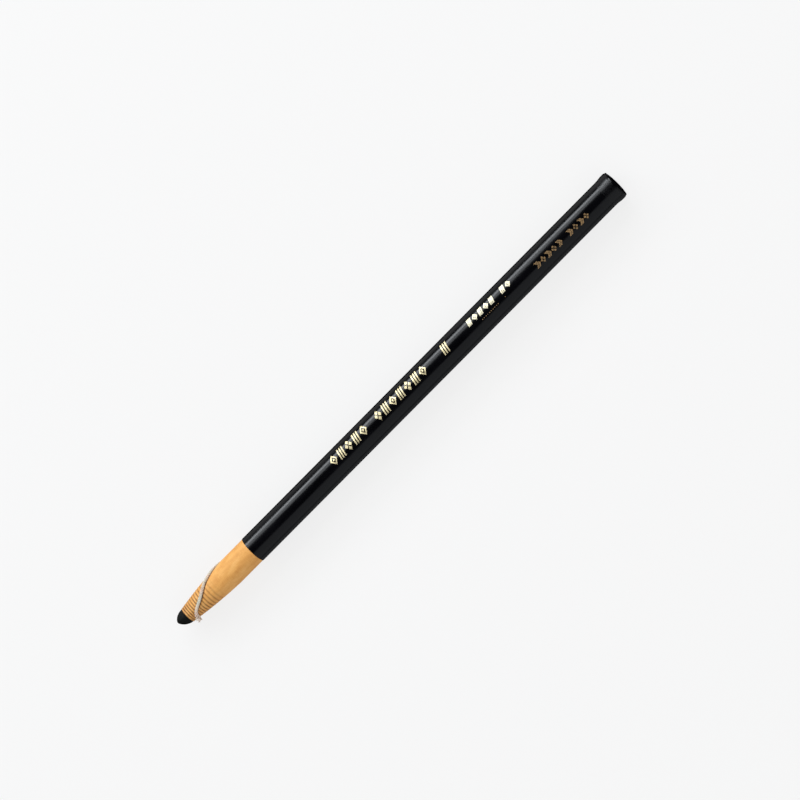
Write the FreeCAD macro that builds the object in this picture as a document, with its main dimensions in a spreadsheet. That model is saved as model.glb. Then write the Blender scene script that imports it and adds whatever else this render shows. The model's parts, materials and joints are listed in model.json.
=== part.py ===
"""A paper-wrapped charcoal pencil that is sharpened by peeling.

A round stick of pressed charcoal is rolled up in thin kraft paper. A pull string lies
under the outermost plies, a printed black cover paper goes round the roll, and the back
end is dipped in lacquer. Perforations divide the roll into ribbons, which come off one
by one towards the tip. The front ribbon is turned to a cone, so its cover is gone and
the string comes out on it and lies across it.

Millimetres. The stick lies along X with its tip at -X, +Z is up, and the origin is under
the middle of its length, on the surface that it lies on. Each piece is made with the tip
at X = 0 and the stick's axis on the X axis, and then placed.
"""

import FreeCAD, Part
import Sketcher
import math
import os
from FreeCAD import Base

doc = FreeCAD.newDocument("charcoal_pencil")

# ---------------------------------------------------------------- driving dimensions

SIZES = {
    "overall_length": 178.0,
    "barrel_d": 8.6,
    "cover_wall": 0.08,
    "core_d": 4.8,
    "core_reach": 3.66,  # tip to the front edge of the paper
    "nose_radius": 0.9,
    "core_fit": 0.03,  # between the charcoal and the paper round it
    "front_edge_wall": 0.06,  # thickness left where the cone meets the charcoal
    "cone_reach": 21.5,  # tip to the back of the cone
    "cone_bulge": 0.265,  # how far the cone's outline stands out from a straight one
    "front_reach": 30.5,  # tip to the back of the front ribbon
    "ribbon_length": 25.4,
    "perforation_gap": 0.05,
    "string_d": 0.72,
    "string_cover": 0.16,  # paper over the string, between it and the cover
    "string_fit": 0.05,
    "string_angle": 96.0,  # round the axis from +Z towards +Y
    "string_exit": 21.6,  # tip to the point where the string's free end begins
    "string_back_gap": 0.6,  # from the string's back end to the roll's back end
    "dip_length": 4.6,
    "dip_wall": 0.21,
    "dip_end_wall": 0.35,
    "dip_edge_radius": 0.7,
    "foil_rise": 0.03,
}
RIBBONS = 5  # covered ribbons between the front ribbon and the stub that is left

sheet = doc.addObject("Spreadsheet::Sheet", "Sizes")
for row, (alias, value) in enumerate(SIZES.items(), start=1):
    sheet.set(f"A{row}", alias)
    sheet.set(f"B{row}", str(value))
    sheet.setAlias(f"B{row}", alias)
doc.recompute()


def size(alias):
    return float(sheet.get(alias))


# Sizes that follow from the driving ones, as expressions for what is bound to the sheet.
BARREL_R = "Sizes.barrel_d / 2"
ROLL_R = "(Sizes.barrel_d / 2 - Sizes.cover_wall)"
CORE_R = "Sizes.core_d / 2"
BORE_R = "(Sizes.core_d / 2 + Sizes.core_fit)"
AXIS_HEIGHT = "(Sizes.barrel_d / 2 + Sizes.dip_wall)"
ROLL_END = "(Sizes.overall_length - Sizes.dip_end_wall)"
STRING_R = f"({ROLL_R} - Sizes.string_cover - Sizes.string_d / 2)"
STRING_Y = f"{STRING_R} * sin(Sizes.string_angle * 1deg)"
STRING_Z = f"{STRING_R} * cos(Sizes.string_angle * 1deg)"
CHANNEL_R = "(Sizes.string_d / 2 + Sizes.string_fit)"

# The same, as numbers, for the shapes that no feature makes.
barrel_r = size("barrel_d") / 2
roll_r = barrel_r - size("cover_wall")
core_r = size("core_d") / 2
axis_height = barrel_r + size("dip_wall")
roll_end = size("overall_length") - size("dip_end_wall")
string_r = size("string_d") / 2
string_from_axis = roll_r - size("string_cover") - string_r
channel_r = string_r + size("string_fit")


def ribbon_start(number):
    """Distance from the tip to the front of covered ribbon 1, 2, ... or of the stub."""
    return size("front_reach") + (number - 1) * size("ribbon_length")


def ribbon_span(number):
    """The front of a covered ribbon or the stub, and its length, as expressions."""
    start = f"(Sizes.front_reach + {number - 1} * Sizes.ribbon_length)"
    if number > RIBBONS:
        return start, f"({ROLL_END} - {start})"
    return start, "(Sizes.ribbon_length - Sizes.perforation_gap)"


def around(x, radius, degrees):
    """The point at x, that far from the axis, at an angle from +Z towards +Y."""
    turn = math.radians(degrees)
    return Base.Vector(x, radius * math.sin(turn), radius * math.cos(turn))


# ---------------------------------------------------------------- helpers

sub_parts = []


def finish_part(obj, label, x="0", z="0"):
    """Makes obj a sub-part: names it, and moves it from the tip's frame to the part's.

    x and z say where obj itself is placed in the tip's frame.
    """
    obj.Label = label
    obj.setExpression("Placement.Base.x", f"{x} - Sizes.overall_length / 2")
    obj.setExpression("Placement.Base.z", f"{z} + {AXIS_HEIGHT}")
    sub_parts.append(obj)
    return obj


def cylinder(name, start, length, radius):
    """A cylinder along +X on the stick's axis."""
    made = doc.addObject("Part::Cylinder", name)
    made.Placement = FreeCAD.Placement(Base.Vector(), FreeCAD.Rotation(Base.Vector(0, 1, 0), 90))
    made.setExpression("Placement.Base.x", start)
    made.setExpression("Height", length)
    made.setExpression("Radius", radius)
    return made


def string_cylinder(name, start, length, radius):
    """A cylinder along +X where the string runs."""
    made = cylinder(name, start, length, radius)
    made.setExpression("Placement.Base.y", STRING_Y)
    made.setExpression("Placement.Base.z", STRING_Z)
    return made


def cut(name, base, tool):
    made = doc.addObject("Part::Cut", name)
    made.Base = base
    made.Tool = tool
    return made


def fuse(name, *shapes):
    made = doc.addObject("Part::MultiFuse", name)
    made.Shapes = list(shapes)
    return made


def turned_body(name, draw):
    """A body turned about the X axis from the half outline that draw puts in its sketch."""
    body = doc.addObject("PartDesign::Body", name)
    sketch = body.newObject("Sketcher::SketchObject", name + "_outline")
    plane = next(f for f in body.Origin.OriginFeatures if f.Role == "XZ_Plane")
    sketch.AttachmentSupport = (plane, [""])
    sketch.MapMode = "FlatFace"
    draw(sketch)
    doc.recompute()
    turned = body.newObject("PartDesign::Revolution", name + "_turned")
    turned.Profile = sketch
    turned.ReferenceAxis = (sketch, ["H_Axis"])
    turned.Angle = 360
    doc.recompute()
    return body


class Outline:
    """Draws a sketch's lines and arcs, and binds its dimensions to the sheet."""

    def __init__(self, sketch):
        self.sketch = sketch

    def line(self, start, end):
        ends = [Base.Vector(*start, 0), Base.Vector(*end, 0)]
        return self.sketch.addGeometry(Part.LineSegment(*ends), False)

    def arc(self, start, middle, end):
        """An arc through three points, anticlockwise, as a sketch needs its arcs."""
        points = [Base.Vector(*p, 0) for p in (start, middle, end)]
        bend = (points[1] - points[0]).cross(points[2] - points[1])
        if bend.z < 0:
            points.reverse()
        return self.sketch.addGeometry(Part.Arc(*points), False)

    def limit(self, kind, *where, to=None):
        """A constraint; with to, a dimension that is bound to that expression."""
        if to is None:
            return self.sketch.addConstraint(Sketcher.Constraint(kind, *where))
        number = self.sketch.addConstraint(Sketcher.Constraint(kind, *where, value_of(to)))
        self.sketch.setExpression(f"Constraints[{number}]", to)
        return number

    def place(self, geometry, vertex, x, y):
        """Dimensions a point from the origin along the sketch's two axes."""
        self.limit("DistanceX", -1, 1, geometry, vertex, to=x)
        self.limit("DistanceY", -1, 1, geometry, vertex, to=y)


def value_of(expression):
    return float(sheet.evalExpression(expression))


# ---------------------------------------------------------------- charcoal


def core_outline(sketch):
    """A blunt nose: a small arc on the axis, a long shoulder arc, then the straight stick."""
    draw = Outline(sketch)
    end, radius = value_of(ROLL_END), core_r
    reach, nose = size("core_reach"), size("nose_radius")
    # The shoulder arc is tangent to both, so its radius and the angle where they meet
    # follow from the nose, the reach and the stick's radius.
    shoulder = ((reach - nose) ** 2 + radius**2 - nose**2) / (2 * (radius - nose))
    meet = math.atan2(shoulder - radius, reach - nose)
    join = (nose - nose * math.cos(meet), nose * math.sin(meet))
    half = meet / 2
    nose_middle = (nose - nose * math.cos(half), nose * math.sin(half))
    lean = (meet + math.pi / 2) / 2
    shoulder_middle = (
        reach - shoulder * math.cos(lean),
        radius - shoulder + shoulder * math.sin(lean),
    )
    nose_arc = draw.arc((0, 0), nose_middle, join)
    shoulder_arc = draw.arc(join, shoulder_middle, (reach, radius))
    side = draw.line((reach, radius), (end, radius))
    back = draw.line((end, radius), (end, 0))
    axis = draw.line((end, 0), (0, 0))
    tip_end, join_end = arc_ends(sketch, nose_arc, (0, 0))
    near_join, near_side = arc_ends(sketch, shoulder_arc, join)
    draw.limit("Coincident", nose_arc, tip_end, -1, 1)
    draw.limit("PointOnObject", nose_arc, 3, -1)
    draw.limit("Tangent", nose_arc, join_end, shoulder_arc, near_join)
    draw.limit("Tangent", shoulder_arc, near_side, side, 1)
    draw.limit("Horizontal", side)
    draw.limit("Coincident", side, 2, back, 1)
    draw.limit("Vertical", back)
    draw.limit("Coincident", back, 2, axis, 1)
    draw.limit("Coincident", axis, 2, -1, 1)
    draw.limit("Horizontal", axis)
    draw.limit("Radius", nose_arc, to="Sizes.nose_radius")
    draw.place(side, 1, "Sizes.core_reach", CORE_R)
    draw.limit("DistanceX", -1, 1, side, 2, to=ROLL_END)


def arc_ends(sketch, arc, start):
    """The vertex numbers of an arc's end at start and of its other end."""
    first = sketch.Geometry[arc].StartPoint
    at_start = first.distanceToPoint(Base.Vector(*start, 0)) < 1e-6
    return (1, 2) if at_start else (2, 1)


finish_part(turned_body("CharcoalCore", core_outline), "charcoal_core")

# ---------------------------------------------------------------- front ribbon


def front_outline(sketch):
    """A tube with a slightly rounded cone at its front."""
    draw = Outline(sketch)
    front, cone = size("core_reach"), size("cone_reach")
    back = size("front_reach") - size("perforation_gap")
    bore = core_r + size("core_fit")
    edge = bore + size("front_edge_wall")
    bulge = size("cone_bulge")
    middle = ((front + cone) / 2, (edge + roll_r) / 2 + bulge)
    cone_arc = draw.arc((front, edge), middle, (cone, roll_r))
    side = draw.line((cone, roll_r), (back, roll_r))
    rear = draw.line((back, roll_r), (back, bore))
    inside = draw.line((back, bore), (front, bore))
    lip = draw.line((front, bore), (front, edge))
    chord = draw.line((front, edge), (cone, roll_r))
    sketch.toggleConstruction(chord)
    near_lip, near_side = arc_ends(sketch, cone_arc, (front, edge))
    draw.limit("Coincident", cone_arc, near_side, side, 1)
    draw.limit("Coincident", side, 2, rear, 1)
    draw.limit("Coincident", rear, 2, inside, 1)
    draw.limit("Coincident", inside, 2, lip, 1)
    draw.limit("Coincident", lip, 2, cone_arc, near_lip)
    draw.limit("Coincident", chord, 1, cone_arc, near_lip)
    draw.limit("Coincident", chord, 2, cone_arc, near_side)
    draw.limit("Horizontal", side)
    draw.limit("Horizontal", inside)
    draw.limit("Vertical", rear)
    draw.limit("Vertical", lip)
    draw.place(lip, 1, "Sizes.core_reach", BORE_R)
    draw.limit("DistanceY", lip, 1, lip, 2, to="Sizes.front_edge_wall")
    draw.place(side, 1, "Sizes.cone_reach", ROLL_R)
    draw.limit("DistanceX", -1, 1, side, 2, to="Sizes.front_reach - Sizes.perforation_gap")
    # An arc's radius from its chord and its bulge.
    rise = f"({ROLL_R} - {BORE_R} - Sizes.front_edge_wall)"
    run = "(Sizes.cone_reach - Sizes.core_reach)"
    square = f"({run} * {run} + {rise} * {rise})"
    draw.limit("Radius", cone_arc, to=f"{square} / (8 * Sizes.cone_bulge) + Sizes.cone_bulge / 2")


def cone_radius(x):
    """The paper cone's radius at a distance x from the tip."""
    front, cone = size("core_reach"), size("cone_reach")
    if x >= cone:
        return roll_r
    edge = core_r + size("core_fit") + size("front_edge_wall")
    share = (x - front) / (cone - front)
    return edge + (roll_r - edge) * share + 4 * size("cone_bulge") * share * (1 - share)


# The string's free end: distance from the tip, angle round the axis and how far the
# string's middle stands from the cone's surface. It climbs out of its channel, crosses
# the cone's upper side, and its end hangs just clear of the far side in a small S.
string_exit = size("string_exit")
string_angle = size("string_angle")
FREE_END = (
    (-1.9, -7.0, -0.12),
    (-4.3, -20.0, 0.06),
    (-6.6, -37.0, 0.12),
    (-8.9, -58.0, 0.15),
    (-11.1, -82.0, 0.18),
    (-13.1, -102.5, 0.24),
    (-14.9, -117.5, 0.34),
    (-16.2, -132.0, 0.56),
    (-17.0, -139.0, 1.0),
)


def free_end_points():
    points = [around(string_exit, string_from_axis, string_angle)]
    for forward, turn, lift in FREE_END:
        x = string_exit + forward
        points.append(around(x, cone_radius(x) + lift, string_angle + turn))
    return points


def rounded_path(points):
    """Straight runs joined by tangent arcs, each as large as its two runs allow."""
    edges = []
    radii = []
    last = points[0]
    for before, corner, after in zip(points, points[1:], points[2:]):
        back = (before - corner).normalize()
        ahead = (after - corner).normalize()
        turn = math.pi - back.getAngle(ahead)
        trim = 0.45 * min((before - corner).Length, (after - corner).Length)
        radius = trim / math.tan(turn / 2)
        start, end = corner + back * trim, corner + ahead * trim
        inward = (back + ahead).normalize()
        middle = corner + inward * (radius / math.cos(turn / 2) - radius)
        edges.append(Part.LineSegment(last, start).toShape())
        edges.append(Part.Arc(start, middle, end).toShape())
        radii.append(round(radius, 2))
        last = end
    edges.append(Part.LineSegment(last, points[-1]).toShape())
    return Part.Wire(edges), radii


def tube_along(path, radius):
    start = path.Vertexes[0].Point
    ahead = path.Edges[0].tangentAt(path.Edges[0].FirstParameter)
    ring = Part.Wire(Part.makeCircle(radius, start, ahead))
    return path.makePipeShell([ring], True, True)


# The free end lifts about its start. The turning axis is square to the string's chord and
# to the direction in which the middle of the free end leaves the cone.
LIFT_DIRECTION = 44.0  # round the axis from +Z towards +Y
LIFT_LIMIT = 60
SLIT_REACH = 4.2  # how far from the pivot the lifting string is still in the paper
SLIT_OVERRUN = 30  # that the slit runs on, to make room for the width of the string
SLIT_SPARE = 0.1  # on each side of the slit, past the string's groove
SOCKET_SPARE = 0.16  # round the ball at the string's start, past the groove

string_points = free_end_points()
string_path, string_radii = rounded_path(string_points)
print("radii of the string's free end:", string_radii)
print("length of the string's free end:", round(string_path.Length, 2))

hinge = string_points[0]
lift_axis = (string_points[-2] - hinge).cross(around(0, 1, LIFT_DIRECTION)).normalize()

# The free end starts in a ball, so that it can turn there.
tail = doc.addObject("Part::Feature", "StringTail")
tail.Shape = tube_along(string_path, string_r).fuse(Part.makeSphere(string_r, hinge))
tube_share = tail.Shape.Volume / (math.pi * string_r**2 * string_path.Length)
print("free end's volume over section times length:", round(tube_share, 3))


def lift_slit():
    """The fan-shaped slit through which the string's start swings."""
    ahead = string_points[1] - hinge
    ahead = (ahead - lift_axis * ahead.dot(lift_axis)).normalize() * SLIT_REACH
    side = lift_axis * (channel_r + SLIT_SPARE)
    corners = [hinge - side, hinge + side, hinge + side + ahead, hinge - side + ahead]
    half = Part.Face(Part.makePolygon(corners + corners[:1]))
    return half.revolve(hinge, lift_axis, LIFT_LIMIT + SLIT_OVERRUN)


groove = doc.addObject("Part::Feature", "StringGroove")
groove.Shape = tube_along(string_path, channel_r)
slit = doc.addObject("Part::Feature", "LiftSlit")
slit.Shape = lift_slit()
socket = doc.addObject("Part::Feature", "StringSocket")
socket.Shape = Part.makeSphere(channel_r + SOCKET_SPARE, hinge)

front_turned = turned_body("FrontRibbon", front_outline)
channel_start = "Sizes.string_exit"
front_channel = string_cylinder("FrontChannel", channel_start, "Sizes.front_reach", CHANNEL_R)
front_cuts = (front_channel, socket, slit, groove)
kraft_front = front_turned
for tool in front_cuts:
    kraft_front = cut(f"Front{tool.Name}", kraft_front, tool)
finish_part(kraft_front, "kraft_front")
finish_part(tail, "pull_string_tail")

# ---------------------------------------------------------------- string inside the roll

run_start = "(Sizes.string_exit + Sizes.string_d / 2 + Sizes.string_fit)"
run_length = f"({ROLL_END} - Sizes.string_back_gap - {run_start})"
string_run = string_cylinder("StringRun", run_start, run_length, "Sizes.string_d / 2")
finish_part(string_run, "pull_string_run", x=run_start, z=STRING_Z)

# ---------------------------------------------------------------- ribbons and their covers


# A round pencil rolls. Each of these is half a facet of the meshes further round, so that
# they lie on a facet and not on an edge between two.
COVER_FACET = 360 / 66
DIP_FACET = 360 / 134


def kraft_ring(number, label):
    start, length = ribbon_span(number)
    roll = cylinder(f"Roll{number}", start, length, ROLL_R)
    bore = cylinder(f"Bore{number}", start, length, BORE_R)
    channel = string_cylinder(f"Channel{number}", start, length, CHANNEL_R)
    tools = fuse(f"RollTools{number}", bore, channel)
    return finish_part(cut(f"Kraft{number}", roll, tools), label)


def cover_ring(number, label):
    start, length = ribbon_span(number)
    outer = cylinder(f"CoverOuter{number}", start, length, BARREL_R)
    inner = cylinder(f"CoverInner{number}", start, length, ROLL_R)
    cover = cut(f"Cover{number}", outer, inner)
    cover.Placement.Rotation = FreeCAD.Rotation(Base.Vector(1, 0, 0), COVER_FACET / 2)
    return finish_part(cover, label)


for ribbon in range(1, RIBBONS + 1):
    kraft_ring(ribbon, f"kraft_ribbon_{ribbon}")
    cover_ring(ribbon, f"cover_ribbon_{ribbon}")
kraft_ring(RIBBONS + 1, "kraft_stub")
cover_ring(RIBBONS + 1, "cover_stub")

# ---------------------------------------------------------------- lacquer dip


def dip_outline(sketch):
    """A cap over the stick's back end: a thin flared wall with a rounded outer rim."""
    draw = Outline(sketch)
    end = size("overall_length")
    inner_end, start = roll_end, end - size("dip_length")
    outer, rim = barrel_r + size("dip_wall"), size("dip_edge_radius")
    flare_end = start + size("dip_length") / 2
    flare = draw.line((start, barrel_r), (flare_end, outer))
    wall = draw.line((flare_end, outer), (end - rim, outer))
    slant = rim * math.sqrt(0.5)
    middle = (end - rim + slant, outer - rim + slant)
    edge = draw.arc((end - rim, outer), middle, (end, outer - rim))
    face = draw.line((end, outer - rim), (end, 0))
    axis = draw.line((end, 0), (inner_end, 0))
    seat = draw.line((inner_end, 0), (inner_end, barrel_r))
    bore = draw.line((inner_end, barrel_r), (start, barrel_r))
    near_wall, near_face = arc_ends(sketch, edge, (end - rim, outer))
    draw.limit("Coincident", flare, 2, wall, 1)
    draw.limit("Tangent", wall, 2, edge, near_wall)
    draw.limit("Tangent", edge, near_face, face, 1)
    draw.limit("Coincident", face, 2, axis, 1)
    draw.limit("Coincident", axis, 2, seat, 1)
    draw.limit("Coincident", seat, 2, bore, 1)
    draw.limit("Coincident", bore, 2, flare, 1)
    for level in (wall, axis, bore):
        draw.limit("Horizontal", level)
    for upright in (face, seat):
        draw.limit("Vertical", upright)
    draw.limit("Radius", edge, to="Sizes.dip_edge_radius")
    draw.limit("PointOnObject", axis, 1, -1)
    draw.limit("DistanceX", -1, 1, face, 2, to="Sizes.overall_length")
    draw.limit("DistanceX", -1, 1, seat, 1, to=ROLL_END)
    draw.place(flare, 1, "Sizes.overall_length - Sizes.dip_length", BARREL_R)
    draw.place(flare, 2, "Sizes.overall_length - Sizes.dip_length / 2", AXIS_HEIGHT)


end_dip = turned_body("EndDip", dip_outline)
end_dip.Placement.Rotation = FreeCAD.Rotation(Base.Vector(1, 0, 0), DIP_FACET / 2)
finish_part(end_dip, "end_dip")

# ---------------------------------------------------------------- gold foil
#
# Bands of geometric ornament. Each mark is drawn flat, with u along the stick and v round
# it, both from the mark's centre, and is then laid on the cover.

LINE = 0.42  # width of a drawn stroke
MARGIN = 0.5  # marks stay this far from a ribbon's edge
FRAME_SIDES = 2.4 * LINE  # how much smaller a frame's opening is, along the stick
FRAME_ENDS = 3.0 * LINE  # and round it
SLASH_WIDTH = 0.9
GEM = 0.26  # a gem's size as a share of its frame's
PETAL_WIDTH, PETAL_HEIGHT = 0.44, 0.40  # as shares of the whole mark
PETAL_SIDE, PETAL_RISE = 0.28, 0.30  # from the mark's centre to a petal's, likewise
ARROW_DEPTH = 0.45  # how far an arrowhead's point leads its ends, likewise
ARROW_STEP = 0.36  # from one arrowhead to the next, likewise
ARROW_LINE = 1.25 * LINE
DOT = 0.5  # likewise


def polygon(points):
    closed = [Base.Vector(u, v, 0) for u, v in points]
    return Part.Face(Part.makePolygon(closed + closed[:1]))


def lozenge(width, height):
    return polygon([(-width / 2, 0), (0, height / 2), (width / 2, 0), (0, -height / 2)])


def open_lozenge(width, height):
    return lozenge(width, height).cut(lozenge(width - FRAME_SIDES, height - FRAME_ENDS))


def slash(width, height, stroke=LINE):
    lean = width / 2 - stroke / 2
    corners = [(-lean - stroke / 2, -height / 2), (-lean + stroke / 2, -height / 2)]
    corners += [(lean + stroke / 2, height / 2), (lean - stroke / 2, height / 2)]
    return polygon(corners)


def moved(face, u, v=0.0):
    copy = face.copy()
    copy.translate(Base.Vector(u, v, 0))
    return copy


def hatch(width, height):
    """Three slanted strokes."""
    step = (width - SLASH_WIDTH) / 2
    return [moved(slash(SLASH_WIDTH, height), u) for u in (-step, 0, step)]


def framed_gem(width, height):
    """An open lozenge round a small filled one."""
    return [open_lozenge(width, height), lozenge(width * GEM, height * GEM)]


def petals(width, height):
    """Four small lozenges about a centre."""
    small = lozenge(width * PETAL_WIDTH, height * PETAL_HEIGHT)
    side = width * PETAL_SIDE
    rise = height * PETAL_RISE
    return [moved(small, u, v) for u, v in ((-side, 0), (side, 0), (0, rise), (0, -rise))]


def chevrons(width, height):
    """Two nested arrowheads that point along the stick."""
    half = height / 2
    deep = width * ARROW_DEPTH
    outside = [(0, half), (deep, 0), (0, -half)]
    inside = [(ARROW_LINE, -half), (deep + ARROW_LINE, 0), (ARROW_LINE, half)]
    arrow = polygon(outside + inside)
    return [moved(arrow, -width / 2), moved(arrow, -width / 2 + width * ARROW_STEP)]


def dot(width, height):
    side = min(width, height) * DOT
    return [lozenge(side, side)]


# Each band: its marks in turn, front end, back end, height of the marks, angle round the
# axis of its middle, pitch of the marks and the width of one.
BANDS = (
    ((framed_gem, hatch, petals, hatch), 64.5, 113.0, 3.3, 22.0, 3.0, 2.5),
    ((hatch, framed_gem), 120.0, 138.3, 2.1, 25.0, 2.2, 1.9),
    ((dot,), 124.1, 134.3, 0.7, -4.0, 0.7, 0.7),
    ((chevrons, petals), 145.4, 167.7, 1.9, -6.0, 2.15, 1.75),
)


def band_marks(start, end):
    """The marks of all bands that lie wholly between start and end, laid on the cover."""
    laid = []
    for marks, front, back, height, turn, pitch, width in BANDS:
        count = int((back - front) / pitch)
        for number in range(count):
            u = front + (number + 0.5) * pitch
            if not start + MARGIN < u - width / 2 or not u + width / 2 < end - MARGIN:
                continue
            for face in marks[number % len(marks)](width, height):
                laid.append(standing(face, u, turn))
    return laid


def standing(face, u, turn):
    """A flat mark pulled up through the cover at u, and turned round the axis."""
    column = face.extrude(Base.Vector(0, 0, 2 * barrel_r))
    column.translate(Base.Vector(u, 0, 0))
    column.rotate(Base.Vector(), Base.Vector(1, 0, 0), -turn)
    return column


def foil(number, start, end, label):
    corner = Base.Vector(start, 0, 0)
    along = Base.Vector(1, 0, 0)
    skin = Part.makeCylinder(barrel_r + size("foil_rise"), end - start, corner, along)
    shell = skin.cut(Part.makeCylinder(barrel_r, end - start, corner, along))
    pieces = [shell.common(column) for column in band_marks(start, end)]
    made = doc.addObject("Part::Feature", f"Foil{number}")
    made.Shape = Part.Compound([solid for piece in pieces for solid in piece.Solids])
    return finish_part(made, label)


for ribbon in range(2, RIBBONS + 2):
    first = ribbon_start(ribbon)
    last = first + size("ribbon_length") if ribbon <= RIBBONS else roll_end - size("dip_length")
    name = f"foil_ribbon_{ribbon}" if ribbon <= RIBBONS else "foil_stub"
    foil(ribbon, first, last, name)

# ---------------------------------------------------------------- checks and export

doc.recompute()
for obj in doc.Objects:
    if "Invalid" in obj.State or "Error" in obj.State:
        raise RuntimeError(f"{obj.Name} failed: {obj.State}")
for part in sub_parts:
    if part.Shape.isNull() or not part.Shape.isValid():
        raise RuntimeError(f"{part.Label} has no valid shape")
    if not part.Shape.Solids:
        raise RuntimeError(f"{part.Label} has no solid")

os.makedirs("parts", exist_ok=True)
for part in sub_parts:
    part.Shape.exportStep(f"parts/{part.Label}.step")
    print(part.Label, len(part.Shape.Solids), round(part.Shape.Volume, 3))

shift = Base.Vector(-size("overall_length") / 2, 0, axis_height)
print("the free end's pivot:", [round(v, 4) for v in hinge + shift])
print("the free end's turning axis:", [round(v, 5) for v in lift_axis])
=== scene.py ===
"""The looks of a paper-wrapped charcoal pencil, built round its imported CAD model.

Metres. The pencil lies along X on the floor at z = 0, tip at -X. Angles round the pencil
are measured from +Z towards +Y. Distances from the tip are in millimetres, because they
are the sizes that a person would measure on the pencil.
"""

import json
import math
import random

import bmesh
import bpy
import numpy as np
from mathutils import Matrix, Vector, noise


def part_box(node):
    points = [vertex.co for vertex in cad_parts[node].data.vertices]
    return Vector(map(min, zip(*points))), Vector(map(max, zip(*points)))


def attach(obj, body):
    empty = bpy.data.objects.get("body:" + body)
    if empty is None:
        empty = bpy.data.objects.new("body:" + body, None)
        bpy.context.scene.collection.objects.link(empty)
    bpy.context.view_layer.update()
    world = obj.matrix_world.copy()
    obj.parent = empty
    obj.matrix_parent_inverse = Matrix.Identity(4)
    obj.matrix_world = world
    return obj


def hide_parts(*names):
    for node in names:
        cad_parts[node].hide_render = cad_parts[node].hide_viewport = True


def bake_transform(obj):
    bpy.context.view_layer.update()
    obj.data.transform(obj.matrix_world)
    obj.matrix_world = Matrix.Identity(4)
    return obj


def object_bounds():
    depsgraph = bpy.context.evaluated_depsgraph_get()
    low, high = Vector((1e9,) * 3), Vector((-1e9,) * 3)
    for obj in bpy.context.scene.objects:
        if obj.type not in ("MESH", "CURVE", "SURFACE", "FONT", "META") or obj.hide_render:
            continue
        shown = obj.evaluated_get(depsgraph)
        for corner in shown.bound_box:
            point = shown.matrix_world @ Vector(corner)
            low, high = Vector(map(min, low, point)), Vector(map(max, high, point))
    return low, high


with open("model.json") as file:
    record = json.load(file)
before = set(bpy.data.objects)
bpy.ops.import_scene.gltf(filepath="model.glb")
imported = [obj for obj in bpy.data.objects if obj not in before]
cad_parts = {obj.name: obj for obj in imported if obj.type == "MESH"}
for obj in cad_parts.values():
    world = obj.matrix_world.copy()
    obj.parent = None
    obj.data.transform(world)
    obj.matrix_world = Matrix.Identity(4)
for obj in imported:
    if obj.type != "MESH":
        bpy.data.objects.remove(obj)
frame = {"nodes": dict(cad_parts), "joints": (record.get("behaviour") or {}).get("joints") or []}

cad_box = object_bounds()
MM = 0.001

# ---------------------------------------------------------------- sizes, from the frame


def ends(node):
    """Where a node starts and ends along the pencil, in mm from the tip."""
    low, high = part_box(node)
    return (low.x - TIP) / MM, (high.x - TIP) / MM


def radius_of(node):
    low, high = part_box(node)
    return (high.y - low.y) / 2 / MM


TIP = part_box("charcoal_core")[0].x
AXIS_Z = (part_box("end_dip")[0].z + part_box("end_dip")[1].z) / 2
LENGTH = ends("end_dip")[1]
CORE_R = radius_of("charcoal_core")
ROLL_R = radius_of("kraft_stub")
BARREL_R = radius_of("cover_stub")
DIP_R = radius_of("end_dip")
ROLL_END = ends("kraft_stub")[1]
DIP_START = ends("end_dip")[0]
CORE_REACH, FRONT_REACH = ends("kraft_front")

# Design sizes that no node's box gives, in mm.
NOSE_R = 0.9
CONE_REACH = 21.5
CONE_BULGE = 0.265
CONE_EDGE_R = CORE_R + 0.09
STRING_EXIT = 21.6
STRING_ANGLE = 96.0
STRING_DEPTH = 3.70
PLY = 0.11  # thickness of one layer of the roll
RIBBONS = 5  # covered ones, before the stub

# As far as the string may stand out, just inside the CAD's box, in metres.
EDGE_Y, EDGE_Z = cad_box[1][1] - 2e-5, cad_box[1][2] - 2e-5

# Where the string's free end turns.
PIVOT = Vector(next(j for j in frame["joints"] if j["name"] == "string_lift")["pos_m"])


def place(x, radius, turn):
    """The point at x mm from the tip, radius mm from the axis, at turn radians."""
    across = radius * math.sin(turn)
    up = radius * math.cos(turn)
    return Vector((TIP + x * MM, across * MM, AXIS_Z + up * MM))


# ---------------------------------------------------------------- camera

VIEW_WIDTH = 226.18  # mm across the picture, at the aim
LEAN = math.radians(9.0)  # the back end is nearer to the camera
ROLL = math.radians(45.23)  # of the pencil in the picture, up to the right
LENS = 240.0
SENSOR = 36.0
AIM_X = 93.37  # mm from the tip, the point of the axis that the next two places name
AIM_RIGHT, AIM_UP = 1.86, 1.54  # mm from the picture's middle


def make_camera():
    towards = Vector((math.sin(LEAN), 0, math.cos(LEAN)))
    along = Vector((math.cos(LEAN), 0, -math.sin(LEAN)))
    across = Vector((0, 1, 0))
    right = along * math.cos(ROLL) - across * math.sin(ROLL)
    up = along * math.sin(ROLL) + across * math.cos(ROLL)
    data = bpy.data.cameras.new("camera")
    data.lens, data.sensor_width = LENS, SENSOR
    distance = LENS / SENSOR * (VIEW_WIDTH * MM)
    data.clip_start, data.clip_end = 0.05, 20
    aim = place(AIM_X, 0, 0) - right * (AIM_RIGHT * MM) - up * (AIM_UP * MM)
    camera = bpy.data.objects.new("camera", data)
    turn = Matrix((right, up, towards)).transposed().to_4x4()
    camera.matrix_world = Matrix.Translation(aim + towards * distance) @ turn
    bpy.context.scene.collection.objects.link(camera)
    bpy.context.scene.camera = camera


# ---------------------------------------------------------------- node helpers


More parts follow.
